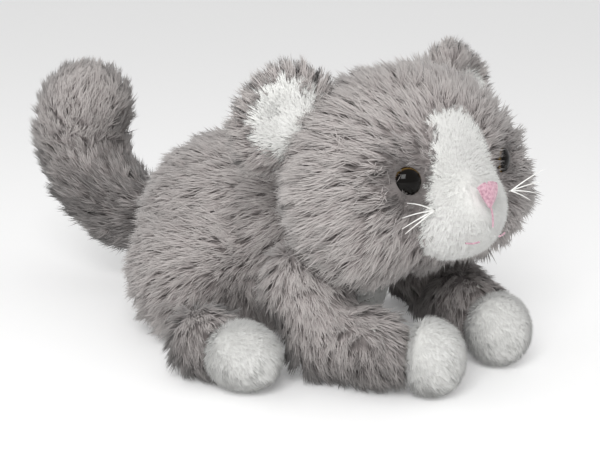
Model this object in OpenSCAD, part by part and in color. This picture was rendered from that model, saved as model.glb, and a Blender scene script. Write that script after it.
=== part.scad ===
/* [Body] */
// Half the width of the rump, pile included
rump_w = 56; // [40:1:75]
// Half the length of the rump
rump_l = 55; // [35:1:75]
// Height of the back over the rump
back_h = 103; // [80:1:130]
// How far behind the rest point the rump is centred
rump_y = 60; // [40:1:80]
// Half the width of the chest
chest_w = 45; // [30:1:60]
// Half the length of the chest
chest_l = 52; // [35:1:70]
// Height of the shoulders
chest_h = 98; // [70:1:120]
// How far out the haunches bulge
haunch_w = 77; // [60:1:90]
// Thickness of the plush cloth with its pile
skin = 6; // [4:0.5:9]
// Gap left between two sewn pieces of one body
seam_gap = 0.4; // [0.3:0.1:1]

/* [Head] */
// Half the width of the head across the cheeks
head_w = 62; // [45:1:75]
// Half the depth of the head, back to brow
head_d = 45; // [35:1:60]
// Half the height of the head
head_h = 49; // [38:1:60]
// Height of the middle of the head
head_z = 96; // [85:1:115]
// How far in front of the rest point the middle of the head is
head_y = 54; // [40:1:65]
// How far the head is sewn on turned towards its right side
head_turned = 7; // [0:1:20]
// How far the head is sewn on tipped towards its right side
head_tipped = 2; // [0:0.5:8]
// Half the width of the white muzzle
muzzle_w = 27; // [20:1:34]
// How far the muzzle stands out in front of the rest point
muzzle_y = 111; // [98:1:120]
// Half the width of the white blaze at its top, as an angle
blaze_w = 12; // [8:0.5:18]
// Radius of the wad of stuffing in the neck
neck_r = 22; // [16:1:28]
// Diameter of an eye
eye_d = 13.5; // [9:0.5:18]
// Half the distance between the eyes
eye_x = 33; // [26:0.5:38]
// Width of the nose
nose_w = 13; // [8:0.5:18]
// Height of the nose
nose_h = 12; // [7:0.5:16]

/* [Ears] */
// Width of an ear
ear_w = 56; // [40:1:66]
// Height of an ear above its fold
ear_h = 34; // [28:1:60]
// Thickness of an ear, pile included
ear_t = 15; // [10:1:22]
// How far the middle of the fold is to the side
ear_x = 46; // [34:1:54]
// Height of the fold
ear_z = 115; // [98:1:124]
// How far an ear leans outwards
ear_lean = 48; // [30:1:65]
// How far the right ear is sewn on turned outwards, four times the left one
ear_turn = 24; // [0:1:30]

/* [Legs] */
// How far to the side a front paw rests
paw_x = 27; // [20:1:40]
// How far in front of the rest point a front paw is centred
paw_y = 91; // [80:1:110]
// Half the width of a front paw
paw_r = 17; // [13:0.5:24]
// Height of a front paw
paw_h = 38; // [30:1:50]
// How far to the side a front elbow is
elbow_x = 47; // [40:1:60]
// How far in front of the rest point an elbow is
elbow_y = 44; // [30:1:55]
// How far to the side a hind foot is
foot_x = 79.5; // [62:0.5:90]
// How far in front of the rest point a hind paw is centred
foot_y = 24; // [15:1:40]
// Half the width of a hind paw
foot_r = 18; // [14:0.5:26]
// Height of a hind paw
foot_h = 34; // [26:1:44]

/* [Tail] */
// Half the thickness of the tail
tail_r = 27; // [18:1:34]
// How far behind the rest point the tail stands up
tail_y = 182; // [160:1:210]
// Height of the middle of the tail's tip
tail_top = 104; // [80:1:130]
// How far the tail leans to the right side
tail_lean = 11; // [0:1:30]

/* [Hidden] */
$fn = 32;
GREY = [0.58, 0.56, 0.55];
WHITE = [0.9, 0.9, 0.88];
STUFFING = [0.95, 0.95, 0.92];
FLOOR = [[0, 0, -1], 0];
CLEAR = 0.9;

// where the neck bends, and the way from body to head there
neck = [0, -22, 78];
up_neck = [0, -0.8, 0.6];
// where the tail bends
root = [0, 111, 46];
root_r = 13;

function dot(a, b) = a * b;
function spin_z(v, a) = [v[0] * cos(a) - v[1] * sin(a), v[0] * sin(a) + v[1] * cos(a), v[2]];
function spin_y(v, a) = [v[0] * cos(a) + v[2] * sin(a), v[1], v[2] * cos(a) - v[0] * sin(a)];
function spin_x(v, a) = [v[0], v[1] * cos(a) - v[2] * sin(a), v[1] * sin(a) + v[2] * cos(a)];

// how far one lump e = [middle, half sizes] reaches from the point o along d
function ray(e, o, d) =
  let (p = [for (k = [0:2]) (o[k] - e[0][k]) / e[1][k]])
  let (q = [for (k = [0:2]) d[k] / e[1][k]])
  let (a = q * q, b = p * q, c = p * p - 1)
  let (t = b * b - a * c)
  t <= 0 ? 0 : max(0, (sqrt(t) - b) / a);

// a form f = [point inside it, lumps, planes that cut it]: the lumps melted into one
function reach(f, d, inset) =
  let (s = [for (e = f[1]) pow(ray(e, f[0], d), 12)])
  let (r = pow(s * [for (e = s) 1], 1 / 12) - inset)
  min(concat([r], [for (c = f[2]) dot(d, c[0]) > 0.001 ? (c[1] - inset - dot(f[0], c[0])) / dot(d, c[0]) : 1000]));

function spot(f, d, inset) = f[0] + reach(f, d, inset) * d;
function unit(v) = v / norm(v);

// a plane through the point p, keeping the side away from n
function cut(p, n, less) = [n, dot(p, n) - less];

// a square's point (a, b) on a disc: its share of the radius, its angle
function on_disc(a, b) =
  a == 0 && b == 0 ? [0, 0] :
  abs(a) >= abs(b) ? [abs(a), (45 * b / a + (a < 0 ? 180 : 360)) % 360] :
  [abs(b), (90 - 45 * a / b + (b < 0 ? 180 : 0)) % 360];

// the direction at a square's point, over a bowl about side * X turned by aim, its rim at these angles
function way(a, b, side, rims, aim) =
  let (q = on_disc(a, b))
  let (t = q[0] * lookup(q[1], rims))
  spin_z([side * cos(t), sin(t) * cos(q[1]), sin(t) * sin(q[1])], aim);

function flip(f, back) = back ? [f[2], f[1], f[0]] : f;

// a cell's two triangles, its corner of the square never cut off
function halves(at, i, j, n) =
  (2 * i + 1 - n) * (2 * j + 1 - n) >= 0 ?
  [[at[i][j], at[i][j + 1], at[i + 1][j + 1]], [at[i][j], at[i + 1][j + 1], at[i + 1][j]]] :
  [[at[i][j], at[i][j + 1], at[i + 1][j]], [at[i + 1][j], at[i][j + 1], at[i + 1][j + 1]]];

// a thick sheet between two grids of (n + 1) x (m + 1) points
module sheet(over, under, n, m, back) {
  k = (n + 1) * (m + 1);
  at = [for (i = [0:n]) [for (j = [0:m]) i * (m + 1) + j]];
  rim = concat(
    [for (i = [0:n - 1]) at[i][0]], [for (j = [0:m - 1]) at[n][j]],
    [for (i = [n:-1:1]) at[i][m]], [for (j = [m:-1:1]) at[0][j]]
  );
  top = [for (i = [0:n - 1]) for (j = [0:m - 1]) for (t = halves(at, i, j, n)) t];
  low = [for (f = top) [f[2] + k, f[1] + k, f[0] + k]];
  wall = [for (i = [0:len(rim) - 1]) for (h = [0, 1])
    let (a = rim[i], b = rim[(i + 1) % len(rim)]) h == 0 ? [a, b, b + k] : [a, b + k, a + k]];
  polyhedron(concat(over, under), [for (f = concat(top, low, wall)) flip(f, back)], convexity = 8);
}

// one cloth bowl of a form, on its side * X half
module bowl(f, side, rims, n, aim = 0, thick = skin, apart = seam_gap / 2) {
  ways = [for (i = [0:n]) for (j = [0:n]) way(2 * i / n - 1, 2 * j / n - 1, side, rims, aim)];
  step = spin_z([side * apart, 0, 0], aim);
  sheet([for (d = ways) spot(f, d, 0) + step], [for (d = ways) spot(f, d, thick) + step], n, n, side < 0);
}

// one cloth strip of a form along its middle, from angle p to angle q, its half widths looked up
module strip(f, p, q, wide, n, m) {
  ways = [for (i = [0:n]) for (j = [0:m])
    let (t = p + (q - p) * j / m)
    let (w = (2 * i / n - 1) * (lookup(t, wide) - 0.8))
    [sin(w), cos(w) * cos(t), cos(w) * sin(t)]];
  sheet([for (d = ways) spot(f, d, 0)], [for (d = ways) spot(f, d, skin)], n, m, true);
}

// a whole form, closed
module solid(f, inset, n, aim = 0) {
  rims = [[0, 90], [360, 90]];
  k = (n + 1) * (n + 1);
  one = [for (i = [0:n]) for (j = [0:n]) way(2 * i / n - 1, 2 * j / n - 1, 1, rims, aim)];
  two = [for (i = [1:n - 1]) for (j = [1:n - 1]) way(2 * i / n - 1, 2 * j / n - 1, -1, rims, aim)];
  at = [for (i = [0:n]) [for (j = [0:n]) i * (n + 1) + j]];
  to = [for (i = [0:n]) [for (j = [0:n])
    i == 0 || j == 0 || i == n || j == n ? at[i][j] : k + (i - 1) * (n - 1) + j - 1]];
  near = [for (i = [0:n - 1]) for (j = [0:n - 1]) for (t = halves(at, i, j, n)) t];
  far = [for (i = [0:n - 1]) for (j = [0:n - 1]) for (t = halves(to, i, j, n)) flip(t, true)];
  polyhedron([for (d = concat(one, two)) spot(f, d, inset)], concat(near, far), convexity = 8);
}

// a straight thread
module rod(p, q, r) {
  v = q - p;
  translate(p)
    rotate([0, acos(v[2] / norm(v)), atan2(v[1], v[0])])
      cylinder(h = norm(v), r = r);
}

// a thread along points
module thread(points, r) {
  for (i = [0:len(points) - 2])
    rod(points[i], points[i + 1], r);
  for (p = points)
    translate(p)
      sphere(r = r * 1.02);
}

// stand a piece modelled along +Z at p, along d
module stand(p, d) {
  translate(p)
    rotate([0, acos(d[2]), atan2(d[1], d[0])])
      children();
}

FLAT = [[0, 90], [360, 90]];

// ---- body ----
BODY = [
  [0, 28, 46],
  [
    [[0, rump_y, back_h - 56], [rump_w, rump_l, 56]],
    [[0, 20, chest_h - 52], [chest_w, chest_l - 12, 52]],
    [[0, -4, 42], [28, chest_l - 10, 44]],
    [[haunch_w - 33, 46, 30], [33, 40, 36]],
    [[33 - haunch_w, 46, 30], [33, 40, 36]]
  ],
  [
    FLOOR,
    cut(neck, up_neck, CLEAR),
    [[0, 1, 0], root[1] - 4]
  ]
];
BODY_WIDE = [[0, 0], [172, 21], [200, 24], [218, 26], [240, 28], [300, 28], [317, 22], [360, 0]];
BODY_RIMS = [for (t = [0:3:360]) [t, t < 170 || t > 319 ? 90 : 90 - lookup(t, BODY_WIDE)]];

module holes() {
  difference() {
    children();
    translate(neck)
      sphere(r = neck_r + 0.5);
    translate(root)
      sphere(r = root_r + 0.5);
  }
}
module body_left_panel() {
  color(GREY)
    holes()
      bowl(BODY, 1, BODY_RIMS, 14);
}
module body_right_panel() {
  color(GREY)
    holes()
      bowl(BODY, -1, BODY_RIMS, 14);
}
module chest_panel() {
  color(WHITE)
    holes()
      strip(BODY, 173, 217.4, BODY_WIDE, 6, 6);
}
module belly_panel() {
  color(GREY)
    strip(BODY, 218.4, 316, BODY_WIDE, 6, 12);
}
module body_filling() {
  color(STUFFING)
    difference() {
      holes()
        solid(BODY, skin + 3, 14);
      translate(neck)
        sphere(r = neck_r + 9);
    }
}
module closing_seam() {
  color(GREY)
    thread([for (k = [0:7])
      let (t = 326 + 2 * k, w = k % 2 == 0 ? 2 : -2)
      spot(BODY, [sin(w), cos(w) * cos(t), cos(w) * sin(t)], -1)], 0.6);
}

// ---- neck ----
module neck_filling() {
  color(STUFFING)
    translate(neck)
      sphere(r = neck_r);
}

// ---- head, in its own upright pose ----
function upright(n) = spin_y(spin_z(n, head_turned), head_tipped);
HEAD = [
  [2, -head_y, head_z] - neck,
  [
    [[2, -head_y, head_z] - neck, [head_w, head_d, head_h]],
    [[2, 21 - muzzle_y, head_z - 16] - neck, [muzzle_w, 21, 21]],
    [[35, -head_y - 6, head_z - 12] - neck, [32, 34, 34]],
    [[-31, -head_y - 6, head_z - 12] - neck, [32, 34, 34]]
  ],
  [for (n = [-8, 0, 12]) for (t = [-15, 0, 15]) [upright(-spin_z(spin_x(up_neck, n), t)), -CLEAR]]
];
HEAD_WIDE = [
  [0, 0], [137, blaze_w], [150, blaze_w + 3], [165, 19], [175, 22], [185, 25], [195, 28], [205, 28],
  [213, 24], [222, 15], [360, 0]
];
HEAD_RIMS = [for (t = [0:2:360]) [t, t < 136 || t > 223 ? 90 : 90 - lookup(t, HEAD_WIDE)]];

module posed() {
  translate(neck)
    rotate([0, 0, -head_turned])
      rotate([0, -head_tipped, 0])
        children();
}
function out(s) = unit([s * eye_x, -36, 5]);
module eye_place(s) {
  stand(spot(HEAD, out(s), 8), unit([s * 0.45, -0.89, 0.02]))
    children();
}
module ear_place(s) {
  translate([4 + s * ear_x, -35, ear_z] - neck)
    rotate([0, s * ear_lean, s < 0 ? -ear_turn : ear_turn / 4])
      children();
}
module hollowed() {
  difference() {
    children();
    sphere(r = neck_r + 0.5);
    for (s = [-1, 1])
      ear_place(s)
        rotate([90, 0, 90])
          linear_extrude(height = ear_w + 4, center = true)
            polygon([[-9, -4], [9, -4], [14, 24], [-14, 24]]);
    for (s = [-1, 1])
      eye_place(s)
        cylinder(r = 2.4, h = 30, center = true);
  }
}
module head_side(s) {
  color(GREY)
    posed()
      hollowed()
        difference() {
          bowl(HEAD, s, HEAD_RIMS, 16);
          eye_place(s)
            cylinder(r = eye_d / 2 + 0.6, h = 16);
        }
}
module head_left_panel() {
  head_side(1);
}
module head_right_panel() {
  head_side(-1);
}
module nose_place() {
  p = spot(HEAD, unit([0, -52, -3]), 0);
  translate([p[0], p[1], p[2]])
    rotate([90 - 12, 0, 0])
      children();
}
module nose_outline(grow) {
  offset(r = 2 + grow)
    polygon([[-nose_w / 2 + 2, nose_h / 2 - 2], [nose_w / 2 - 2, nose_h / 2 - 2], [0, -nose_h / 2 + 2]]);
}
module muzzle_panel() {
  color(WHITE)
    posed()
      difference() {
        strip(HEAD, 138.5, 220.5, HEAD_WIDE, 10, 12);
        nose_place()
          translate([0, 0, -2])
            linear_extrude(height = 8)
              nose_outline(0.3);
      }
}
module head_filling() {
  color(STUFFING)
    posed()
      hollowed()
        difference() {
          solid(HEAD, skin + 1, 16);
          for (s = [-1, 1])
            eye_place(s)
              translate([0, 0, -9])
                cylinder(r = 8, h = 12);
        }
}
module eye(s) {
  color([0.05, 0.03, 0.02])
    posed()
      eye_place(s)
        rotate_extrude()
          polygon(concat(
            [[0, -8], [2, -8], [2, 0.2], [eye_d / 2 - 0.4, 0.2]],
            [for (a = [0:6:84]) [eye_d / 2 * cos(a), 0.8 + eye_d * 0.36 * sin(a)]],
            [[0, 0.8 + eye_d * 0.36]]
          ));
}
module washer(s) {
  color([0.85, 0.85, 0.85])
    posed()
      eye_place(s)
        translate([0, 0, -7.2])
          difference() {
            cylinder(r = 7, h = 1.4);
            cylinder(r = 2.3, h = 9, center = true);
          }
}
module eye_left() {
  eye(1);
}
module eye_right() {
  eye(-1);
}
module eye_left_washer() {
  washer(1);
}
module eye_right_washer() {
  washer(-1);
}
module nose() {
  color([0.82, 0.62, 0.66])
    posed()
      nose_place()
        translate([0, 0, -1.8])
          linear_extrude(height = 3)
            nose_outline(0);
}
module mouth_thread() {
  color([0.82, 0.66, 0.68])
    posed()
      for (t = [189, 194])
        rod(spot(HEAD, [0, cos(t), sin(t)], -1), spot(HEAD, [0, cos(t + 5.4), sin(t + 5.4)], -1), 0.6);
}
module whiskers(s) {
  r = spot(HEAD, unit([s * 28, -50, -8]), -2);
  color(WHITE)
    posed() {
      translate(r)
        sphere(r = 1);
      for (k = [0:3])
        rod(r, r + unit([s * (1 + 0.12 * k), -0.32 + 0.08 * k, 0.55 - 0.36 * k]) * (24 - 2 * k), 0.4);
    }
}
module whiskers_left() {
  whiskers(1);
}
module whiskers_right() {
  whiskers(-1);
}

// ---- ears, about their fold ----
EAR = [
  [0, -1, ear_h / 2],
  [
    [[0, 0, ear_h - 21], [ear_w / 2, ear_t / 2, 21]],
    [[0, 0, 8], [ear_w / 2 - 5, ear_t / 2 - 1, 12]]
  ],
  [[[0, 0, -1], 1]]
];
POCKET = [[0, -1, ear_h / 2], [[[0, -4, ear_h / 2 + 0.5], [ear_w / 2 - 8, 6, ear_h / 2 - 4]]], []];
module ear_outer(s) {
  n = 10;
  ways = [for (i = [0:n]) for (j = [0:n]) way(2 * i / n - 1, 2 * j / n - 1, 1, [[0, 100], [360, 100]], 90)];
  color(GREY)
    posed()
      ear_place(s)
        sheet([for (d = ways) spot(EAR, d, 0)], [for (d = ways) spot(POCKET, d, -0.4)], n, n, false);
}
module ear_inner(s) {
  color(WHITE)
    posed()
      ear_place(s)
        solid(POCKET, 2.2, 10, 90);
}
module ear_left_outer() {
  ear_outer(1);
}
module ear_left_inner() {
  ear_inner(1);
}
module ear_right_outer() {
  ear_outer(-1);
}
module ear_right_inner() {
  ear_inner(-1);
}

// ---- legs: the left one of each pair is modelled, the right one is its mirror image ----
module on_side(s) {
  scale([1, 1, 1])
    mirror([s < 0 ? 1 : 0, 0, 0])
      children();
}
// from forearm to paw
fore_way = unit([paw_x - 38, 66 - paw_y, 0]);
fore_seam = [paw_x, -paw_y, paw_h / 2] - fore_way * 8;
fore_in = unit([-0.986, 0.164, 0]);
FORE = [
  [elbow_x - 1, -elbow_y, 28],
  [
    [[43, -30, 45], [21, 23, 23]],
    [[elbow_x, -elbow_y, 25], [18, 22, 25]],
    [[38, -66, 20], [18, 26, 20]]
  ],
  [
    FLOOR,
    cut(fore_seam, fore_way, 0.2),
    cut([30, -20, 0], fore_in, 0)
  ]
];
PAW = [
  [paw_x, -paw_y, paw_h / 2 - 1] + fore_way * 3,
  [[[paw_x, -paw_y, paw_h / 2 - 0.5], [paw_r, paw_r + 1, paw_h / 2 + 0.5]]],
  [FLOOR, cut(fore_seam, -fore_way, 0.2)]
];
// from heel to toe
hind_way = [0, -1, 0];
hind_seam = [foot_x, 12 - foot_y, foot_h / 2];
HEEL = [
  [foot_x + 1, -4, 18],
  [[[foot_x + 1, 1, 18], [17, 19, 20]], [[foot_x, -12, 17.5], [17, 18, 18]]],
  [FLOOR, cut(hind_seam, hind_way, 0.2)]
];
FOOT = [
  [foot_x, -foot_y, foot_h / 2 - 1] + hind_way * 2,
  [[[foot_x, -foot_y, foot_h / 2 - 0.5], [foot_r, foot_r + 3.5, foot_h / 2 + 0.5]]],
  [FLOOR, cut(hind_seam, -hind_way, 0.2)]
];
module opened(p, d, r) {
  difference() {
    children();
    stand(p - d * 12, d)
      cylinder(r = r, h = 24, $fn = 8);
  }
}
module fore_panel(s, half) {
  color(GREY)
    on_side(s)
      opened(fore_seam, fore_way, 8.4)
        bowl(FORE, half, FLAT, 10);
}
module hind_panel(s, half) {
  color(GREY)
    on_side(s)
      opened(hind_seam, hind_way, 8.4)
        bowl(HEEL, half, FLAT, 8);
}
module cap(f, seam, d, turned) {
  opened(seam, d, 8.4)
    bowl(f, 1, [[0, 140], [360, 140]], 10, turned, skin, 0);
}
module stuffed(f, g, seam, d, turned) {
  solid(f, skin + 1, 10);
  solid(g, skin + 2, 8, turned);
  stand(seam - d * 12, d)
    cylinder(r = 7.6, h = 24, $fn = 8);
}
fore_turned = atan2(fore_way[1], fore_way[0]);

module front_left_outer_panel() {
  fore_panel(1, 1);
}
module front_left_inner_panel() {
  fore_panel(1, -1);
}
module front_left_paw() {
  color(WHITE)
    on_side(1)
      cap(PAW, fore_seam, fore_way, fore_turned);
}
module front_left_filling() {
  color(STUFFING)
    on_side(1)
      stuffed(FORE, PAW, fore_seam, fore_way, fore_turned);
}
module front_right_outer_panel() {
  fore_panel(-1, 1);
}
module front_right_inner_panel() {
  fore_panel(-1, -1);
}
module front_right_paw() {
  color(WHITE)
    on_side(-1)
      cap(PAW, fore_seam, fore_way, fore_turned);
}
module front_right_filling() {
  color(STUFFING)
    on_side(-1)
      stuffed(FORE, PAW, fore_seam, fore_way, fore_turned);
}
module hind_left_outer_panel() {
  hind_panel(1, 1);
}
module hind_left_inner_panel() {
  hind_panel(1, -1);
}
module hind_left_paw() {
  color(WHITE)
    on_side(1)
      cap(FOOT, hind_seam, hind_way, -90);
}
module hind_left_filling() {
  color(STUFFING)
    on_side(1)
      stuffed(HEEL, FOOT, hind_seam, hind_way, -90);
}
module hind_right_outer_panel() {
  hind_panel(-1, 1);
}
module hind_right_inner_panel() {
  hind_panel(-1, -1);
}
module hind_right_paw() {
  color(WHITE)
    on_side(-1)
      cap(FOOT, hind_seam, hind_way, -90);
}
module hind_right_filling() {
  color(STUFFING)
    on_side(-1)
      stuffed(HEEL, FOOT, hind_seam, hind_way, -90);
}

// ---- tail: rings along a curve from the root up to the tip ----
L = tail_lean;
TAIL = [
  [0, 100, 46], [0, 116, 45], [-0.2 * L, 138, 43], [-0.4 * L, tail_y - 24, 48],
  [-0.7 * L, tail_y - 6, 64], [-L, tail_y, 86], [-L, tail_y - 6, tail_top], [-L, tail_y - 14, tail_top + 20]
];
function along(t) =
  let (i = min(floor(t), len(TAIL) - 3), f = t - i)
  let (a = TAIL[max(i - 1, 0)], b = TAIL[i], c = TAIL[i + 1], d = TAIL[i + 2])
  (2 * b + (c - a) * f + (2 * a - 5 * b + 4 * c - d) * f * f + (3 * b - a - 3 * c + d) * f * f * f) / 2;
// [place on the curve, radius, how far past it]
STOPS = concat(
  [[0.9, 17, 0], [1.2, 20, 0], [1.65, 22, 0]],
  [for (t = [2.1:0.4:6]) [t, tail_r * lookup(t, [[2, 0.86], [3, 0.94], [4, 1], [6, 1]]), 0]],
  [for (a = [22, 42, 60, 76, 87]) [6, tail_r * cos(a), tail_r * sin(a)]]
);
// a point of ring k at angle a about the curve, inset
function ring(k, a, inset) =
  let (s = STOPS[k], p = along(s[0]), w = unit(along(s[0] + 0.05) - along(s[0] - 0.05)))
  let (u = unit(cross(w, [1, 0, 0])), v = cross(u, w))
  let (r = max(s[2] > 0 ? (tail_r - inset) / tail_r * s[1] : s[1] - inset, 0.6))
  p + w * s[2] * (tail_r - inset) / tail_r + v * r * cos(a) + u * r * sin(a);
module tail_panel(s) {
  n = 9;
  m = len(STOPS) - 1;
  color(GREY)
    difference() {
      sheet(
        [for (i = [0:n]) for (j = [0:m]) ring(j, s * (-89 + 178 * i / n) + (s < 0 ? 180 : 0), 0)],
        [for (i = [0:n]) for (j = [0:m]) ring(j, s * (-89 + 178 * i / n) + (s < 0 ? 180 : 0), skin)],
        n, m, s < 0
      );
      translate(root)
        sphere(r = root_r + 0.5);
    }
}
module tail_left_panel() {
  tail_panel(1);
}
module tail_right_panel() {
  tail_panel(-1);
}
module tail_filling() {
  n = 12;
  m = len(STOPS) - 1;
  points = [for (j = [0:m]) for (i = [0:n - 1]) ring(j, 360 * i / n, skin + 0.8)];
  color(STUFFING)
    difference() {
      polyhedron(points, concat(
        [[for (i = [0:n - 1]) i]],
        [[for (i = [n - 1:-1:0]) m * n + i]],
        [for (j = [0:m - 1]) for (i = [0:n - 1]) for (h = [0, 1])
          let (a = j * n + i, b = j * n + (i + 1) % n)
          h == 0 ? [a, a + n, b + n] : [a, b + n, b]]
      ), convexity = 8);
      translate(root)
        sphere(r = root_r + 0.5);
    }
}
module tail_root_filling() {
  color(STUFFING)
    translate(root)
      sphere(r = root_r);
}

body_left_panel();
body_right_panel();
chest_panel();
belly_panel();
body_filling();
closing_seam();
neck_filling();
head_left_panel();
head_right_panel();
muzzle_panel();
head_filling();
eye_left();
eye_right();
eye_left_washer();
eye_right_washer();
nose();
mouth_thread();
whiskers_left();
whiskers_right();
ear_left_outer();
ear_left_inner();
ear_right_outer();
ear_right_inner();
front_left_outer_panel();
front_left_inner_panel();
front_left_paw();
front_left_filling();
front_right_outer_panel();
front_right_inner_panel();
front_right_paw();
front_right_filling();
hind_left_outer_panel();
hind_left_inner_panel();
hind_left_paw();
hind_left_filling();
hind_right_outer_panel();
hind_right_inner_panel();
hind_right_paw();
hind_right_filling();
tail_root_filling();
tail_left_panel();
tail_right_panel();
tail_filling();
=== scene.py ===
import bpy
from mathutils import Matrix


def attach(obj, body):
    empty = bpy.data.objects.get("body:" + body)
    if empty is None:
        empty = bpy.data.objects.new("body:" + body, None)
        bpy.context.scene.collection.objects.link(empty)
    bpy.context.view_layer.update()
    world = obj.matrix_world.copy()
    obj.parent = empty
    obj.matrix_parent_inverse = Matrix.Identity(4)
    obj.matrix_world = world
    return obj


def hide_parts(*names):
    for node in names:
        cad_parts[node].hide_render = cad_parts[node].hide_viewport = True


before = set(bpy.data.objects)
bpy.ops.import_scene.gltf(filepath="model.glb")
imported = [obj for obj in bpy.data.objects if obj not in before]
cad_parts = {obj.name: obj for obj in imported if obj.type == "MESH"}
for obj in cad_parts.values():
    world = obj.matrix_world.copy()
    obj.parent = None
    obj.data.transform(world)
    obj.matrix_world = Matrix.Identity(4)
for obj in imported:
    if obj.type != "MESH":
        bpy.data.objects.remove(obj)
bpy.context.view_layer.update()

import math
import bpy
import bmesh
import numpy as np
from mathutils import Vector

# ---------------------------------------------------------------- trunk
# The trunk is a bag of long-pile grey plush stuffed with loose fibre: two side
# panels, a white bib in front and a flat belly strip, sewn along their edges.  The
# pile is set in the cloth fibre by fibre and combed back and down in small locks.
MM = 0.001
NECK = np.array([0.0, -22.0, 78.0])
NECK_WAY = np.array([0.0, -0.8, 0.6])
FLOOR = (np.array([0.0, 0.0, -1.0]), 0.0)


def unit(v):
    v = np.asarray(v, float)
    return v / np.maximum(np.linalg.norm(v, axis=-1, keepdims=True), 1e-9)


def tangent(v, n):
    v = np.broadcast_to(np.asarray(v, float), n.shape)
    return unit(v - (v * n).sum(1, keepdims=True) * n)


def ball_of_directions(level):
    bm = bmesh.new()
    bmesh.ops.create_icosphere(bm, subdivisions=level, radius=1.0)
    d = unit([v.co for v in bm.verts])
    f = np.array([[v.index for v in face.verts] for face in bm.faces])
    bm.free()
    return d, f


def stuffed(form, d, inset=0.0):
    """The skin of lumps of stuffing melted into one, along directions d, in mm.

    Also tells how near each point is to a flat cut, 1 on it and 0 well away."""
    o, lumps, cuts = form
    r = np.zeros(len(d))
    for centre, half in lumps:
        p, q = (o - centre) / half, d / half
        a, b, c = (q * q).sum(1), q @ p, p @ p - 1.0
        t = np.maximum(b * b - a * c, 0.0)
        r += np.maximum(0.0, (np.sqrt(t) - b) / a * (t > 0)) ** 12
    full = r ** (1 / 12) - inset
    r = full.copy()
    for n, k in cuts:
        along = d @ n
        r = np.minimum(r, np.where(along > 0.001, (k - inset * 0.4 - o @ n) / np.maximum(along, 0.001), 1e3))
    pressed = np.clip((full - r) / 4.0, 0.0, 1.0)
    return o + r[:, None] * d, pressed


def normals_of(p, f):
    n = np.zeros_like(p)
    c = np.cross(p[f[:, 1]] - p[f[:, 0]], p[f[:, 2]] - p[f[:, 0]])
    for k in range(3):
        np.add.at(n, f[:, k], c)
    return unit(n)


def eased(p, f, times=3):
    e = np.concatenate([f[:, [0, 1]], f[:, [1, 2]], f[:, [2, 0]]])
    k = np.zeros(len(p))
    np.add.at(k, e[:, 0], 1)
    for _ in range(times):
        s = np.zeros_like(p)
        np.add.at(s, e[:, 0], p[e[:, 1]])
        p = 0.5 * p + 0.5 * s / np.maximum(k, 1)[:, None]
    return p


def fibre_piece():
    """One fibre, a unit long: thin at its root, widest at its middle, bent over."""
    v, r = [(0.0, 0.0, 0.0)], 0.03
    for k in range(3):
        a = 2 * math.pi * k / 3
        v.append((0.13 + r * math.cos(a), r * math.sin(a), 0.52))
    v.append((0.42, 0.0, 1.0))
    f = []
    for k in range(3):
        j = (k + 1) % 3
        f += [(0, j + 1, k + 1), (k + 1, j + 1, 4)]
    mesh = bpy.data.meshes.new("fibre")
    mesh.from_pydata(v, [], f)
    mesh.shade_smooth()
    for name, values in (("tip", (0.0, 0.52, 0.52, 0.52, 1.0)), ("side", (0.0, -1.0, 1.0, 0.0, 0.0))):
        mesh.attributes.new(name, "FLOAT", "POINT").data.foreach_set("value", values)
    return bpy.data.objects.new("fibre", mesh)


FIBRE = fibre_piece()


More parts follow.
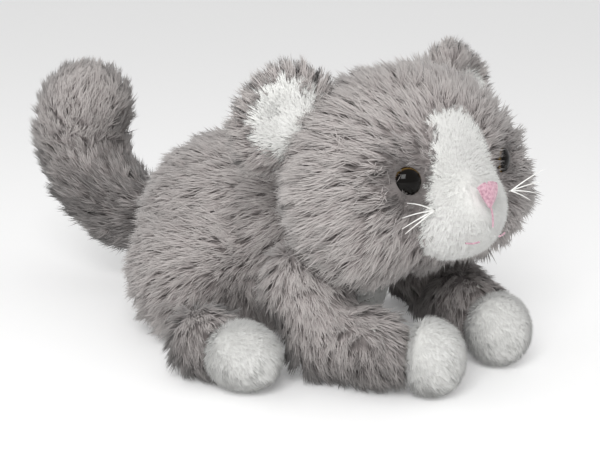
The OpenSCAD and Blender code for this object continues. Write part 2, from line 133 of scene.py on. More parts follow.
def pile_tree():
    t = bpy.data.node_groups.new("pile", "GeometryNodeTree")
    s = t.interface
    s.new_socket("Geometry", in_out="INPUT", socket_type="NodeSocketGeometry")
    for name, kind in (
        ("Fibre", "Object"), ("Fibres per square metre", "Float"), ("Length", "Float"), ("Stand", "Float"),
        ("Lean", "Float"), ("Lock size", "Float"), ("Lock pull", "Float"), ("Lock stray", "Float"),
        ("Swirl", "Float"), ("Jitter", "Float"), ("Crispness", "Float"), ("Seed", "Int"),
        ("Material", "Material"),
    ):
        s.new_socket(name, in_out="INPUT", socket_type="NodeSocket" + kind)
    s.new_socket("Geometry", in_out="OUTPUT", socket_type="NodeSocketGeometry")
    N = t.nodes
    link = t.links.new
    g = N.new("NodeGroupInput").outputs

    def put(node, key, value):
        if isinstance(value, bpy.types.NodeSocket):
            link(value, node.inputs[key])
        else:
            node.inputs[key].default_value = value

    def maths(op, a, b):
        n = N.new("ShaderNodeMath")
        n.operation = op
        put(n, 0, a)
        put(n, 1, b)
        return n.outputs[0]

    def vectors(op, a, b=None, by=None):
        n = N.new("ShaderNodeVectorMath")
        n.operation = op
        put(n, 0, a)
        if b is not None:
            put(n, 1, b)
        if by is not None:
            put(n, "Scale", by)
        return n.outputs[0]

    def chance(kind, low, high, seed):
        n = N.new("FunctionNodeRandomValue")
        n.data_type = kind
        ends = [i for i in n.inputs if i.enabled]
        ends[0].default_value, ends[1].default_value = low, high
        n.inputs["Seed"].default_value = seed
        return [o for o in n.outputs if o.enabled][0]

    def named(name, kind="FLOAT"):
        n = N.new("GeometryNodeInputNamedAttribute")
        n.data_type = kind
        n.inputs["Name"].default_value = name
        return [o for o in n.outputs if o.enabled][0]

    def keep(geometry, name, value, kind="FLOAT", domain="POINT"):
        n = N.new("GeometryNodeStoreNamedAttribute")
        n.data_type, n.domain = kind, domain
        n.inputs["Name"].default_value = name
        link(geometry, n.inputs["Geometry"])
        link(value, [i for i in n.inputs if i.enabled and i.name == "Value"][0])
        return n.outputs[0]

    def noise(scale, where):
        n = N.new("ShaderNodeTexNoise")
        link(where, n.inputs["Vector"])
        n.inputs["Scale"].default_value = scale
        return n.outputs

    spread = N.new("GeometryNodeDistributePointsOnFaces")
    link(g["Geometry"], spread.inputs["Mesh"])
    link(maths("MULTIPLY", g["Fibres per square metre"], named("dense")), spread.inputs["Density"])
    link(g["Seed"], spread.inputs["Seed"])
    lay, place = named("lay", "FLOAT_VECTOR"), N.new("GeometryNodeInputPosition").outputs[0]
    cells = N.new("ShaderNodeTexVoronoi")
    link(place, cells.inputs["Vector"])
    link(maths("DIVIDE", 1.0, g["Lock size"]), cells.inputs["Scale"])
    length = maths("MULTIPLY", maths("MULTIPLY", g["Length"], named("long")), chance("FLOAT", 0.7, 1.15, 3))
    way = vectors("SCALE", spread.outputs["Normal"], by=g["Stand"])
    way = vectors("ADD", way, vectors("SCALE", lay, by=g["Lean"]))
    swirl = vectors("SUBTRACT", noise(70.0, place)["Color"], (0.5, 0.5, 0.5))
    way = vectors("ADD", way, vectors("SCALE", swirl, by=g["Swirl"]))
    to_lock = vectors("SUBTRACT", cells.outputs["Position"], place)
    way = vectors("ADD", way, vectors("SCALE", to_lock, by=maths("DIVIDE", g["Lock pull"], length)))
    stray = vectors("SUBTRACT", cells.outputs["Color"], (0.5, 0.5, 0.5))
    way = vectors("ADD", way, vectors("SCALE", stray, by=g["Lock stray"]))
    shake = chance("FLOAT_VECTOR", (-1, -1, -1), (1, 1, 1), 7)
    way = vectors("ADD", way, vectors("SCALE", shake, by=g["Jitter"]))
    points = keep(spread.outputs["Points"], "way", vectors("NORMALIZE", way), "FLOAT_VECTOR")
    points = keep(points, "size", length)
    points = keep(points, "skin", spread.outputs["Normal"], "FLOAT_VECTOR")
    # Each fibre's shade mixes its own tone (by noise, by lock and at random) with the painted light and shade
    # that the cloth carries.
    lock_tone = N.new("ShaderNodeSeparateXYZ")
    link(cells.outputs["Color"], lock_tone.inputs[0])
    by_lock = maths("MULTIPLY", lock_tone.outputs[0], 0.28)
    tone_and_painted_shade = maths("ADD", maths("MULTIPLY", noise(55.0, place)["Fac"], 0.5), by_lock)
    tone_and_painted_shade = maths("ADD", maths("ADD", tone_and_painted_shade, chance("FLOAT", 0.0, 0.25, 19)), named("tone_and_painted_shade"))
    points = keep(points, "shade", tone_and_painted_shade)
    up = N.new("FunctionNodeAlignRotationToVector")
    up.axis = "Z"
    link(named("way", "FLOAT_VECTOR"), up.inputs["Vector"])
    bend = N.new("FunctionNodeAlignRotationToVector")
    bend.axis, bend.pivot_axis = "X", "Z"
    link(up.outputs[0], bend.inputs["Rotation"])
    turn = vectors("SCALE", chance("FLOAT_VECTOR", (-1, -1, -1), (1, 1, 1), 11), by=0.45)
    link(vectors("ADD", lay, turn), bend.inputs["Vector"])
    info = N.new("GeometryNodeObjectInfo")
    link(g["Fibre"], info.inputs["Object"])
    plant = N.new("GeometryNodeInstanceOnPoints")
    link(points, plant.inputs["Points"])
    link(info.outputs["Geometry"], plant.inputs["Instance"])
    link(bend.outputs[0], plant.inputs["Rotation"])
    link(named("size"), plant.inputs["Scale"])
    real = N.new("GeometryNodeRealizeInstances")
    link(plant.outputs[0], real.inputs[0])
    rest = N.new("GeometryNodeSetPosition")
    link(real.outputs[0], rest.inputs["Geometry"])
    at = N.new("ShaderNodeSeparateXYZ")
    link(place, at.inputs[0])
    lifted = N.new("ShaderNodeCombineXYZ")
    link(at.outputs[0], lifted.inputs[0])
    link(at.outputs[1], lifted.inputs[1])
    link(maths("MAXIMUM", at.outputs[2], 0.0003), lifted.inputs[2])
    link(lifted.outputs[0], rest.inputs["Position"])
    both = N.new("GeometryNodeJoinGeometry")
    link(g["Geometry"], both.inputs[0])
    link(rest.outputs[0], both.inputs[0])
    swatch = N.new("ShaderNodeCombineXYZ")
    across = maths("ADD", maths("MULTIPLY", named("shade"), 0.9), maths("MULTIPLY", named("side"), 0.012))
    link(maths("MINIMUM", maths("MAXIMUM", maths("ADD", across, 0.05), 0.02), 0.98), swatch.inputs[0])
    link(maths("ADD", maths("MULTIPLY", named("tip"), 0.9), 0.05), swatch.inputs[1])
    whole = keep(both.outputs[0], "OFBake", swatch.outputs[0], "FLOAT2", "CORNER")
    soft = N.new("GeometryNodeSetMeshNormal")
    soft.mode = "FREE"
    link(whole, soft.inputs["Mesh"])
    facing = vectors("SCALE", N.new("GeometryNodeInputNormal").outputs[0], by=g["Crispness"])
    facing = vectors("NORMALIZE", vectors("ADD", facing, named("skin", "FLOAT_VECTOR")))
    link(facing, soft.inputs["Custom Normal"])
    paint = N.new("GeometryNodeSetMaterial")
    link(soft.outputs[0], paint.inputs["Geometry"])
    link(g["Material"], paint.inputs["Material"])
    out = N.new("NodeGroupOutput")
    link(paint.outputs[0], out.inputs[0])
    return t


PILE = pile_tree()
BACKING = 1.3
OFF_FLOOR = 0.4


def plush(name, p, f, lay, finish, body, nodes, fill, slot, dense, long=None, tone_and_painted_shade=None, **cut):
    """Sews one panel: a closed sheet of backing over points p and faces f, with its pile."""
    used = np.unique(f)
    at = np.full(len(p), -1)
    at[used] = np.arange(len(used))
    f = at[f]
    q, k = p[used], len(used)
    under = q - BACKING * normals_of(q, f)
    under[:, 2] = np.maximum(under[:, 2], OFF_FLOOR)
    e = np.concatenate([f[:, [0, 1]], f[:, [1, 2]], f[:, [2, 0]]])
    key = e[:, 0] * k + e[:, 1]
    rim = e[~np.isin(key, e[:, 1] * k + e[:, 0])]
    walls = np.concatenate([np.stack([rim[:, 1], rim[:, 0], rim[:, 0] + k], 1),
                            np.stack([rim[:, 1], rim[:, 0] + k, rim[:, 1] + k], 1)])
    faces = np.concatenate([f, f[:, ::-1] + k, walls])
    cloth = bpy.data.meshes.new(name)
    cloth.from_pydata((np.concatenate([q, under]) * MM).tolist(), [], faces.tolist())
    cloth.shade_smooth()

    def mark(key, values, kind="FLOAT"):
        a = cloth.attributes.new(key, kind, "POINT")
        a.data.foreach_set("vector" if kind != "FLOAT" else "value", np.asarray(values, np.float32).ravel())

    one = np.ones(k)
    mark("lay", np.concatenate([lay[used]] * 2), "FLOAT_VECTOR")
    mark("long", np.tile(one if long is None else long[used], 2))
    mark("dense", np.concatenate([dense[used] if np.ndim(dense) else one * dense, one * 0]))
    # Painted light and shade, where given, darkens or lightens the backing and the fibres set in it.
    mark("tone_and_painted_shade", np.tile(one * 0 if tone_and_painted_shade is None else tone_and_painted_shade[used], 2))
    mark("shade", np.clip(np.tile(0.4 * one if tone_and_painted_shade is None else 0.4 + 0.6 * tone_and_painted_shade[used], 2), 0, 1))
    mark("tip", np.full(2 * k, 0.25))
    piece = bpy.data.objects.new(name, cloth)
    bpy.context.scene.collection.objects.link(piece)
    mod = piece.modifiers.new("pile", "NODES")
    mod.node_group = PILE
    ids = {i.name: i.identifier for i in PILE.interface.items_tree if i.in_out == "INPUT"}
    settings = {
        "Fibre": FIBRE, "Fibres per square metre": cut["fibres"] * 1e4, "Length": cut["length"] * MM,
        "Stand": cut["stand"], "Lean": cut["lean"], "Lock size": cut["lock"] * MM, "Lock pull": cut["pull"],
        "Lock stray": cut["stray"], "Swirl": cut["swirl"], "Jitter": cut["jitter"],
        "Crispness": cut["crisp"], "Seed": cut["seed"], "Material": finish,
    }
    for key, value in settings.items():
        mod[ids[key]] = value
    bpy.context.view_layer.update()
    done = bpy.data.meshes.new_from_object(piece.evaluated_get(bpy.context.evaluated_depsgraph_get()))
    piece.modifiers.remove(mod)
    piece.data = done
    bpy.data.meshes.remove(cloth)
    for key in ("lay", "long", "dense", "tone_and_painted_shade", "way", "size", "skin", "shade", "tip", "side"):
        if key in done.attributes:
            done.attributes.remove(done.attributes[key])
    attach(piece, body)
    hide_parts(*nodes)


def srgb(r, g, b):
    """A dye's shade, 0 to 255 a channel, as the light it sends back."""
    return tuple(c / 3294.6 if c <= 10.3 else ((c / 255 + 0.055) / 1.055) ** 2.4 for c in (r, g, b)) + (1.0,)


def plush_finish(name, ends, shades, plain):
    """Pile whose colour runs from its roots to its tips, and from dark to pale: by lock, at random, and by
    the painted light and shade it is given.
    """
    m = bpy.data.materials.new(name)
    m.use_nodes = True
    N, L = m.node_tree.nodes, m.node_tree.links
    shader = N["Principled BSDF"]
    uv = N.new("ShaderNodeUVMap")
    uv.uv_map = "OFBake"
    at = N.new("ShaderNodeSeparateXYZ")
    L.new(uv.outputs[0], at.inputs[0])

    def ramp(source, stops):
        n = N.new("ShaderNodeValToRGB")
        L.new(source, n.inputs[0])
        e = n.color_ramp.elements
        while len(e) < len(stops):
            e.new(0.5)
        for k, (place, colour) in enumerate(stops):
            e[k].position, e[k].color = place, colour
        return n.outputs[0]

    along = ramp(at.outputs[1], [(0.05, srgb(*ends[0])), (0.5, srgb(*ends[1])), (0.95, srgb(*ends[2]))])
    # Across: lower values darken the pile, both for its own tone and for painted shade.
    levels = ((0.02, shades[0] * 0.6), (0.14, shades[0]), (0.5, 1.0), (0.9, shades[1]))
    across = ramp(at.outputs[0], [(place, (level, level, level, 1.0)) for place, level in levels])
    mix = N.new("ShaderNodeMix")
    mix.data_type, mix.blend_type = "RGBA", "MULTIPLY"
    mix.inputs["Factor"].default_value = 1.0
    L.new(along, mix.inputs["A"])
    L.new(across, mix.inputs["B"])
    L.new(mix.outputs["Result"], shader.inputs["Base Color"])
    shader.inputs["Roughness"].default_value = 0.8
    shader.inputs["Sheen Weight"].default_value = 0.2
    shader.inputs["Sheen Roughness"].default_value = 0.6
    shader.inputs["Specular IOR Level"].default_value = 0.2
    m.diffuse_color = srgb(*plain)
    return m


GREY = plush_finish("grey_plush", ((122, 114, 112), (164, 157, 155), (198, 193, 190)), (0.5, 1.12),
                    (150, 144, 142))
WHITE = plush_finish("white_plush", ((226, 226, 223), (238, 238, 235), (246, 246, 243)), (0.88, 1.0),
                     (236, 235, 232))
LONG = dict(fibres=196, length=10.6, stand=0.54, lean=0.62, lock=4.4, pull=0.9, stray=0.6,
            swirl=1.5, jitter=0.14, crisp=0.5)
SHORT = dict(fibres=480, length=4.2, stand=0.95, lean=0.42, lock=3.0, pull=0.2, stray=0.12,
             swirl=0.5, jitter=0.2, crisp=0.25)

BODY = (
    np.array([0.0, 28.0, 46.0]),
    [((0, 60, 47), (56, 55, 56)), ((0, 20, 46), (45, 40, 52)), ((0, -4, 42), (28, 42, 44)),
     ((44, 46, 30), (33, 40, 36)), ((-44, 46, 30), (33, 40, 36))],
    [FLOOR, (NECK_WAY, NECK @ NECK_WAY - 0.9), (np.array([0.0, 1.0, 0.0]), 107.0)],
)
BODY_WIDE = [[0, 0], [172, 21], [200, 24], [218, 26], [240, 28], [300, 28], [317, 22], [360, 0]]


def strip_of(d, wide, start, end):
    """Which directions lie in the strip down a form's middle."""
    t = np.degrees(np.arctan2(d[:, 2], d[:, 1])) % 360
    w = np.degrees(np.arcsin(np.clip(np.abs(d[:, 0]), 0, 1)))
    return (t > start) & (t < end) & (w < np.interp(t, *np.array(wide).T))


d, f = ball_of_directions(5)
bib, belly = strip_of(d, BODY_WIDE, 173, 217.9), strip_of(d, BODY_WIDE, 217.9, 316)
p, pressed = stuffed(BODY, d, 6.6)
p = eased(p, f)
n = normals_of(p, f)
lay = tangent((0.0, 0.7, -0.55), n)
mid = d[f].mean(1)
in_bib, in_belly = bib[f].sum(1) > 1, belly[f].sum(1) > 1
side = ~(in_bib | in_belly)
far_down = np.clip((6.0 - p[:, 2]) / 4.0, 0, 1)
dense = 1.0 - 0.75 * np.maximum(pressed, far_down)
long = 1.0 - 0.6 * pressed
by_arm = np.linalg.norm((np.abs(p[:, 0]) - 40, p[:, 1] + 22, p[:, 2] - 42), axis=0)
by_heel = np.linalg.norm((np.abs(p[:, 0]) - 62, p[:, 1] - 8, p[:, 2] - 26), axis=0)
crease = np.clip(1.35 - np.minimum(by_arm / 26, by_heel / 24), 0, 1)
# Painted light and shade: the pile is lighter where it faces up, darker where it faces down, and darker in
# the creases by the front and hind legs.
tone_and_painted_shade = 0.12 * n[:, 2] - 0.04 - 0.3 * crease
long *= 1 - 0.25 * crease
for label, half, seed in (("left", mid[:, 0] > 0, 1), ("right", mid[:, 0] <= 0, 2)):
    plush("body_%s_plush" % label, p, f[side & half], lay, GREY, "trunk", ["body_%s_panel" % label], 0.75,
          "plush_grey", dense, long, tone_and_painted_shade, seed=seed, **LONG)
plush("belly_plush", p, f[in_belly], lay, GREY, "trunk", ["belly_panel"], 0.75, "plush_grey",
      0.3, long * 0.5, seed=3, **LONG)
plush("chest_plush", p, f[in_bib], tangent((0, -0.2, -1), n), WHITE, "trunk", ["chest_panel"], 0.75,
      "plush_white", 0.8, long, seed=4, **SHORT)


# ---------------------------------------------------------------- neck and tail root
# Under the head and inside the root of the tail the cloth is gathered round a hard
# wad of fibre.  It shows only as grey pile in the crease when they turn.
def wad(name, body, node, centre, radius, seed):
    d, f = ball_of_directions(4)
    p = centre + d * (radius - 3.5)
    # Its pile is a little darker all over: painted shade for the crease it lies in.
    plush(name, p, f, tangent((0, 0.5, -0.6), d), GREY, body, [node], 0.9, "plush_grey",
          0.6, np.full(len(d), 0.8), np.full(len(d), -0.15), seed=seed, **LONG)


TAIL_ROOT = np.array([0.0, 111.0, 46.0])
wad("neck_plush", "neck", "neck_filling", NECK, 22.0, 5)
wad("tail_root_plush", "tail_root", "tail_root_filling", TAIL_ROOT, 13.0, 6)


# ---------------------------------------------------------------- head
# The head is a broad ball of grey plush with full cheeks.  Its pile is longest on
# the cheeks and is brushed out from the face.  A white short-pile strip is let in
# from the forehead down over the muzzle to the chin.
def about_z(v, a):
    c, s = math.cos(math.radians(a)), math.sin(math.radians(a))
    v = np.asarray(v, float)
    return np.stack([v[..., 0] * c - v[..., 1] * s, v[..., 0] * s + v[..., 1] * c, v[..., 2]], -1)


def about_y(v, a):
    c, s = math.cos(math.radians(a)), math.sin(math.radians(a))
    v = np.asarray(v, float)
    return np.stack([v[..., 0] * c + v[..., 2] * s, v[..., 1], v[..., 2] * c - v[..., 0] * s], -1)


def about_x(v, a):
    c, s = math.cos(math.radians(a)), math.sin(math.radians(a))
    v = np.asarray(v, float)
    return np.stack([v[..., 0], v[..., 1] * c - v[..., 2] * s, v[..., 1] * s + v[..., 2] * c], -1)


TURNED, TIPPED = 7.0, 2.0


def sewn_on(v):
    """From the head's own upright frame to where it is sewn on."""
    return NECK + about_z(about_y(v, -TIPPED), -TURNED)


HEAD = (
    np.array([2.0, -54.0, 96.0]) - NECK,
    [(np.array([2, -54, 96]) - NECK, (62, 45, 49)), (np.array([2, -90, 80]) - NECK, (27, 21, 21)),
     (np.array([35, -60, 84]) - NECK, (32, 34, 34)), (np.array([-31, -60, 84]) - NECK, (32, 34, 34))],
    [(about_y(about_z(-about_z(about_x(NECK_WAY, a), b), TURNED), TIPPED), -0.9)
     for a in (-8, 0, 12) for b in (-15, 0, 15)],
)
HEAD_WIDE = [[0, 0], [134, 15], [150, 19], [165, 23], [175, 26], [185, 29], [195, 31], [205, 31], [213, 27],
             [224, 17], [360, 0]]


def on_head(d, inset=0.0):
    return stuffed(HEAD, np.atleast_2d(unit(d)), inset)[0][0]


def eye_seat(s):
    return on_head((s * 33, -36, 5), 8.0), unit((s * 0.45, -0.89, 0.02))


d, f = ball_of_directions(5)
white = strip_of(d, HEAD_WIDE, 135, 222)
near_white = strip_of(d * (0.84, 1, 1), HEAD_WIDE, 131, 226)
in_white = white[f].sum(1) > 1
p, pressed = stuffed(HEAD, d, 5.0)
p = eased(p, f, 2)
n = normals_of(p, f)
nose_at = on_head((0, -52, -3))
away = p - (nose_at + np.array([0, 14, 4]))
lay = tangent(unit(away) + np.array([0, 0.25, -0.22]), n)
from_eyes = np.min([np.linalg.norm(p - eye_seat(s)[0], axis=1) for s in (-1, 1)], 0)
face = np.clip((np.linalg.norm(p - nose_at, axis=1) - 20) / 40, 0, 1)
cheek = np.exp(-((p[:, 2] - 2) / 22) ** 2) * np.clip((np.abs(p[:, 0]) - 25) / 25, 0, 1)
long = (0.62 + 0.38 * face + 0.22 * cheek) * (1 - 0.3 * pressed) * np.clip((from_eyes - 3) / 9, 0.45, 1)
long *= np.where(near_white, 0.6, 1.0)
# Darker round the eyes, and painted light and shade: lighter higher up the head, darker lower down.
tone_and_painted_shade = -0.75 * np.exp(-(from_eyes / 13) ** 2) + 0.12 * np.clip(p[:, 2] / 50, -1, 1)
bare = np.clip((from_eyes - 6.6) / 1.0, 0, 1)
p, n, lay = sewn_on(p), sewn_on(n) - NECK, sewn_on(lay) - NECK
mid = d[f].mean(1)
for s, label, seed in ((1, "left", 7), (-1, "right", 8)):
    plush("head_%s_plush" % label, p, f[~in_white & (s * mid[:, 0] > 0)], lay, GREY, "head",
          ["head_%s_panel" % label], 0.85, "plush_grey", (1 - 0.4 * pressed) * bare * 1.25, long, tone_and_painted_shade,
          seed=seed, **LONG)
short = 0.75 + 0.25 * np.clip(np.linalg.norm(d - unit((0, -0.95, 0.1)), axis=1), 0, 1)
nose_gap = np.linalg.norm(p - sewn_on(nose_at), axis=1)
plush("muzzle_plush", p, f[in_white], lay, WHITE, "head", ["muzzle_panel"], 0.85, "plush_white",
      1.35 * np.clip((nose_gap - 5.5) / 1.5, 0, 1) * (1 - 0.7 * pressed),
      short * np.clip(nose_gap / 16, 0.6, 1), seed=9, **SHORT)


# ---------------------------------------------------------------- ears
# Each ear is a rounded grey flap with a white fluffy lining let into its front,
# turned and sewn down across its base.  The right one is sewn on facing further out,
# and more of its lining shows.
EAR_W, EAR_H, EAR_T = 56.0, 34.0, 15.0
EAR = (
    np.array([0.0, -1.0, EAR_H / 2]),
    [((0, 0, EAR_H - 21), (EAR_W / 2, EAR_T / 2, 21)), ((0, 0, 8), (EAR_W / 2 - 5, EAR_T / 2 - 1, 12))],
    [(np.array([0.0, 0.0, -1.0]), 1.0)],
)


def on_ear(v, s, turn):
    fold = np.array([4 + s * 46.0, -35.0, 115.0])
    return sewn_on(fold - NECK + about_z(about_y(v, s * 48.0), turn))


d, f = ball_of_directions(4)
for s, label, turn, (mid_x, half_x, half_z) in (
    (1, "left", 6.0, (4, 12.5, 12)), (-1, "right", -24.0, (2, 16, 14)),
):
    p, pressed = stuffed(EAR, d, 3.4)
    x, z = (p[:, 0] - mid_x) / half_x, (p[:, 2] - 13.5) / half_z
    hollow = np.clip(1.25 - np.sqrt(x * x + z * z), 0, 1) * (p[:, 1] < -0.5)
    p[:, 1] += 4.0 * hollow
    p = eased(p, f, 1)
    n = normals_of(p, f)
    lining = (x * x + z * z < 1) & (p[:, 1] < 0)
    in_lining = lining[f].sum(1) > 1
    lay = tangent(unit(p * (1, 0, 1) + (0, 0, 4)) + np.array([0, 0.15, 0]), n)
    base = on_ear(np.zeros(3), s, turn)
    p, lay = on_ear(p, s, turn), on_ear(lay, s, turn) - base
    plush("ear_%s_outer_plush" % label, p, f[~in_lining], lay, GREY, label + "_ear", ["ear_%s_outer" % label],
          0.6, "plush_grey", 1.3 * (1 - 0.6 * pressed), (1 - 0.5 * pressed) * 0.8, np.full(len(d), 0.05),
          seed=10 + s, **LONG)
    plush("ear_%s_inner_plush" % label, p, f[in_lining], lay, WHITE, label + "_ear", ["ear_%s_inner" % label],
          0.6, "plush_white", 1.1, np.full(len(d), 1.35), seed=13 + s, **SHORT)


# ---------------------------------------------------------------- legs
# Every leg is a grey tube of plush that ends in a white paw of shorter pile, both
# stuffed and sewn together round the wrist.  The right ones mirror the left ones.
def plane(point, n, less):
    n = unit(n)
    return (n, float(np.dot(point, n)) - less)


fore_way = unit((27 - 38, 66 - 91, 0))
fore_seam = np.array([27.0, -91.0, 19.0]) - 8 * fore_way
hind_way = np.array([0.0, -1.0, 0.0])
hind_seam = np.array([79.5, -12.0, 17.0])
FORE = (np.array([46.0, -44.0, 28.0]),
        [((43, -30, 45), (21, 23, 23)), ((47, -44, 25), (18, 22, 25)), ((38, -66, 20), (18, 26, 20))],
        [FLOOR, plane(fore_seam, fore_way, 0.2), plane((30, -20, 0), (-0.986, 0.164, 0), 0)])
PAW = (np.array([27.0, -91.0, 18.0]) + 3 * fore_way, [((27, -91, 18.5), (17, 18, 19.5))],
       [FLOOR, plane(fore_seam, -fore_way, 0.2)])
HEEL = (np.array([80.5, -4.0, 18.0]), [((80.5, 1, 18), (17, 19, 20)), ((79.5, -12, 17.5), (17, 18, 18))],
        [FLOOR, plane(hind_seam, hind_way, 0.2)])
FOOT = (np.array([79.5, -26.0, 16.0]), [((79.5, -24, 16.5), (18, 21.5, 17.5))],
        [FLOOR, plane(hind_seam, -hind_way, 0.2)])


def limb(name, form, s, way, finish, body, nodes, slot, inset, dense, long, seed, cut):
    d, f = ball_of_directions(4)
    p, pressed = stuffed(form, d, inset)
    p = eased(p, f, 2)
    if s < 0:
        p, f = p * (-1, 1, 1), f[:, ::-1]
    n = normals_of(p, f)
    under = np.clip((5.0 - p[:, 2]) / 3.0, 0, 1)
    lay = tangent(np.asarray(way) * (s, 1, 1), n)
    # Painted light and shade: the pile is darker low down and lighter high up, on the paws as well.
    plush(name, p, f, lay, finish, body, nodes, 0.8, slot, dense * (1 - 0.7 * np.maximum(under, pressed)),
          long * (1 - 0.45 * pressed), np.clip((p[:, 2] - 36) / 50, -0.42, 0.12), seed=seed, **cut)


for s, label in ((1, "left"), (-1, "right")):
    for end, form, paw, way, seed in (
        ("front", FORE, PAW, (-0.25, -0.35, -0.8), 20),
        ("hind", HEEL, FOOT, (0.15, -0.5, -0.6), 30),
    ):
        body = "%s_%s_leg" % (end, label)
        limb("%s_%s_leg_plush" % (end, label), form, s, way, GREY, body,
             ["%s_%s_outer_panel" % (end, label), "%s_%s_inner_panel" % (end, label)], "plush_grey", 5.2, 1.1,
             0.82 if end == "front" else 0.8, seed + s, LONG)
        limb("%s_%s_paw_plush" % (end, label), paw, s, (-0.1, -0.6, -0.5), WHITE, body,
             ["%s_%s_paw" % (end, label)], "plush_white", 3.6, 1.0, 0.95, seed + 3 + s, SHORT)


# ---------------------------------------------------------------- tail
# The tail is a fat curl of the same long plush, two panels sewn along its inside and
# outside, stuffed firmly enough to stand up.  Its pile is brushed towards the tip.
TAIL = np.array([
    [0, 100, 46], [0, 116, 45], [-2.2, 138, 43], [-4.4, 158, 48],
    [-7.7, 176, 64], [-11, 182, 86], [-11, 176, 104], [-11, 168, 124],
], float)


def along(t):
    i = min(int(t), len(TAIL) - 3)
    u = t - i
    a, b, c, e = TAIL[max(i - 1, 0)], TAIL[i], TAIL[i + 1], TAIL[i + 2]
    return (2 * b + (c - a) * u + (2 * a - 5 * b + 4 * c - e) * u * u + (3 * b - a - 3 * c + e) * u ** 3) / 2


TAIL_RADIUS = ([0.9, 1.2, 1.65, 2.1, 3, 4, 6], [17, 20, 22, 23.4, 25.4, 27, 27])
stops = [(t, np.interp(t, *TAIL_RADIUS) - 5.3, 0.0) for t in np.linspace(0.95, 6, 66)]
stops += [(6, 21.7 * math.cos(a), 21.7 * math.sin(a)) for a in np.radians(np.linspace(6, 88, 16))]
around = 72
p, lay = [], []
for t, r, past in stops:
    w = unit(along(t + 0.03) - along(t - 0.03))
    u = unit(np.cross(w, (1, 0, 0)))
    v = np.cross(u, w)
    for a in np.arange(around) * 2 * math.pi / around - math.pi / 2:
        p.append(along(t) + w * past + v * r * math.cos(a) + u * r * math.sin(a))
        lay.append(w)
p, lay = np.array(p), np.array(lay)
f = []
for j in range(len(stops) - 1):
    for i in range(around):
        a, b = j * around + i, j * around + (i + 1) % around
        f += [(a, b, b + around), (a, b + around, a + around)]
last = (len(stops) - 1) * around
p = np.concatenate([p, [p[last:last + around].mean(0)]])
lay = np.concatenate([lay, lay[-1:]])
f = np.array(f + [(last + i, last + (i + 1) % around, len(p) - 1) for i in range(around)])
if (normals_of(p, f)[: 20 * around] * (p[: 20 * around] - np.array([0, 120, 45]))).sum() < 0:
    f = f[:, ::-1]
n = normals_of(p, f)
lay = tangent(lay, n)
at_root = np.clip((np.linalg.norm(p - TAIL_ROOT, axis=1) - 8) / 14, 0.6, 1)
ring_of = np.arange(len(f)) // 2 % around
left = np.concatenate([ring_of[:-around] < around // 2, np.arange(around) < around // 2])
for s, label, seed in ((1, "left", 40), (-1, "right", 41)):
    # Painted light and shade: the tail is darker low down and lighter towards its top.
    plush("tail_%s_plush" % label, p, f[left if s > 0 else ~left], lay, GREY, "tail",
          ["tail_%s_panel" % label], 0.8, "plush_grey", at_root * 0.95, at_root,
          np.clip((p[:, 2] - 92) / 90, -0.45, 0.12), seed=seed, **LONG)


# ---------------------------------------------------------------- eyes
# The eyes are moulded safety eyes: a black glossy dome with a thin amber ring round
# its rim, on a shank that a washer holds behind the cloth.
def finish_named(name, roughness, **sockets):
    m = bpy.data.materials.new(name)
    m.use_nodes = True
    shader = m.node_tree.nodes["Principled BSDF"]
    shader.inputs["Roughness"].default_value = roughness
    for key, value in sockets.items():
        shader.inputs[key.replace("_", " ")].default_value = value
    return m, m.node_tree.nodes, m.node_tree.links, shader


def ramp_into(N, L, source, stops, target):
    n = N.new("ShaderNodeValToRGB")
    L.new(source, n.inputs[0])
    e = n.color_ramp.elements
    while len(e) < len(stops):
        e.new(0.5)
    for k, (place, colour) in enumerate(stops):
        e[k].position, e[k].color = place, srgb(*colour)
    L.new(n.outputs[0], target)


EYE, N, L, shader = finish_named("amber_rimmed_eye", 0.1, Coat_Weight=0.06, Coat_Roughness=0.03,
                                 Specular_IOR_Level=0.12)
ring = N.new("ShaderNodeAttribute")
ring.attribute_name = "ring"
grain = N.new("ShaderNodeTexNoise")
grain.inputs["Scale"].default_value = 1600.0
sway = N.new("ShaderNodeMath")
sway.operation = "MULTIPLY_ADD"
sway.inputs[1].default_value = 0.04
L.new(grain.outputs["Fac"], sway.inputs[0])
L.new(ring.outputs["Fac"], sway.inputs[2])
ramp_into(N, L, sway.outputs[0], [
    (0.0, (7, 5, 4)), (0.89, (10, 7, 5)), (0.93, (56, 40, 18)), (0.965, (96, 76, 36)), (1.0, (40, 26, 12)),
], shader.inputs["Base Color"])


def turned_piece(name, profile, sides, seat, way):
    """A lathed piece: profile points (radius, height, ring) about the way it faces."""
    up = unit(np.cross((1, 0, 0), way))
    right = np.cross(up, way)
    v, ring, f = [], [], []
    for r, h, k in profile:
        for i in range(sides):
            a = 2 * math.pi * i / sides
            v.append(seat + way * h + (right * math.cos(a) + up * math.sin(a)) * max(r, 0.02))
            ring.append(k)
    for j in range(len(profile) - 1):
        for i in range(sides):
            a, b = j * sides + i, j * sides + (i + 1) % sides
            f.append((a, b, b + sides, a + sides))
    f += [tuple(reversed(range(sides))), tuple(range(len(v) - sides, len(v)))]
    mesh = bpy.data.meshes.new(name)
    mesh.from_pydata((np.array(v) * MM).tolist(), [], f)
    mesh.attributes.new("ring", "FLOAT", "POINT").data.foreach_set("value", ring)
    bm = bmesh.new()
    bm.from_mesh(mesh)
    bmesh.ops.recalc_face_normals(bm, faces=bm.faces[:])
    bm.to_mesh(mesh)
    bm.free()
    mesh.shade_smooth()
    piece = bpy.data.objects.new(name, mesh)
    bpy.context.scene.collection.objects.link(piece)
    return piece


